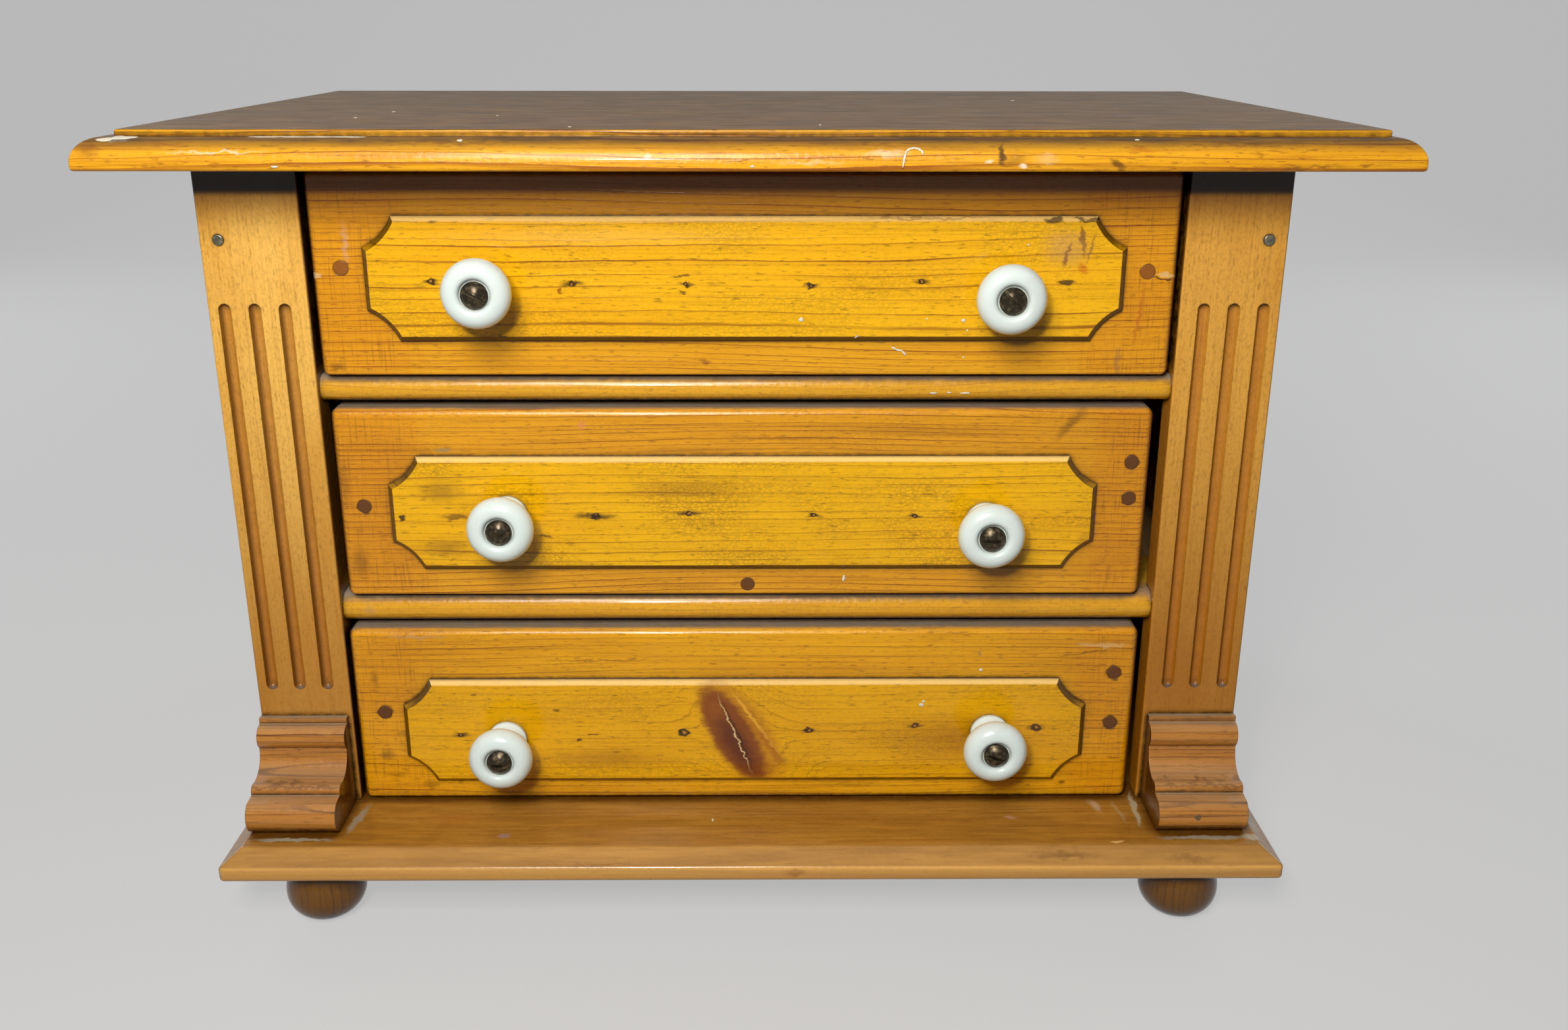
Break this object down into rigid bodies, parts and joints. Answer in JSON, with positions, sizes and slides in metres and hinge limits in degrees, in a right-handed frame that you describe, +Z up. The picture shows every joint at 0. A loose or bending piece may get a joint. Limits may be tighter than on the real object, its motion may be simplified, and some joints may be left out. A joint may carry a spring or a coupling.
{
  "type": "desktop mini drawers",
  "caption": "Small desktop chest of drawers in varnished pine, with fluted pilasters, scooped plaques, white porcelain knobs and bun feet, for craft supplies and parts.",
  "frame": {"origin": "middle of the overall footprint, on the surface that the feet stand on", "axes": "+X to the right along the width, -Y out of the front with the knobs, +Z up"},
  "size_m": [0.454, 0.2876, 0.3044],
  "materials": {
    "pine_top": "varnished pine, darkened on top",
    "pine_plinth": "varnished pine",
    "pine_case": "varnished pine",
    "pine_back": "bare pine",
    "pine_pilaster": "varnished pine",
    "pine_corbel": "stained and varnished pine",
    "pine_rail": "varnished pine",
    "pine_inside": "bare pine",
    "pine_front": "varnished pine",
    "pine_plaque": "varnished pine",
    "pine_foot": "varnished pine",
    "dark_peg": "stained end grain",
    "porcelain": "glossy glaze",
    "dark_steel": "dark bronzed steel"
  },
  "bodies": {
    "case": {"top_board": "pine_top", "base_board": "pine_plinth", "side_left": "pine_case", "side_right": "pine_case", "back_panel": "pine_back", "back_panel_pins": "dark_steel", "pilaster_left": "pine_pilaster", "pilaster_right": "pine_pilaster", "pilaster_nails": "dark_steel", "corbel_left": "pine_corbel", "corbel_right": "pine_corbel", "rail_lower": "pine_rail", "rail_upper": "pine_rail", "runner_lower_left": "pine_inside", "runner_lower_right": "pine_inside", "runner_upper_left": "pine_inside", "runner_upper_right": "pine_inside", "drawer_guides_left": "pine_inside", "drawer_guides_right": "pine_inside", "drawer_stops": "pine_inside", "foot_front_left": "pine_foot", "foot_front_right": "pine_foot", "foot_rear_left": "pine_foot", "foot_rear_right": "pine_foot"},
    "top_drawer": {"top_front": "pine_front", "top_plaque": "pine_plaque", "top_side_left": "pine_inside", "top_side_right": "pine_inside", "top_back": "pine_inside", "top_bottom": "pine_inside", "top_front_pegs": "dark_peg", "top_knob_left": "porcelain", "top_knob_right": "porcelain", "top_knob_screws": "dark_steel", "top_knob_nuts": "dark_steel"},
    "middle_drawer": {"middle_front": "pine_front", "middle_plaque": "pine_plaque", "middle_side_left": "pine_inside", "middle_side_right": "pine_inside", "middle_back": "pine_inside", "middle_bottom": "pine_inside", "middle_front_pegs": "dark_peg", "middle_knob_left": "porcelain", "middle_knob_right": "porcelain", "middle_knob_screws": "dark_steel", "middle_knob_nuts": "dark_steel"},
    "bottom_drawer": {"bottom_front": "pine_front", "bottom_plaque": "pine_plaque", "bottom_side_left": "pine_inside", "bottom_side_right": "pine_inside", "bottom_back": "pine_inside", "bottom_bottom": "pine_inside", "bottom_front_pegs": "dark_peg", "bottom_knob_left": "porcelain", "bottom_knob_right": "porcelain", "bottom_knob_screws": "dark_steel", "bottom_knob_nuts": "dark_steel"}
  },
  "joints": [
    {"name": "top_drawer_slide", "type": "slide", "parent": "case", "child": "top_drawer", "axis": [0, -1, 0], "range_m": [0, 0.15]},
    {"name": "middle_drawer_slide", "type": "slide", "parent": "case", "child": "middle_drawer", "axis": [0, -1, 0], "range_m": [0, 0.15]},
    {"name": "bottom_drawer_slide", "type": "slide", "parent": "case", "child": "bottom_drawer", "axis": [0, -1, 0], "range_m": [0, 0.15]}
  ]
}
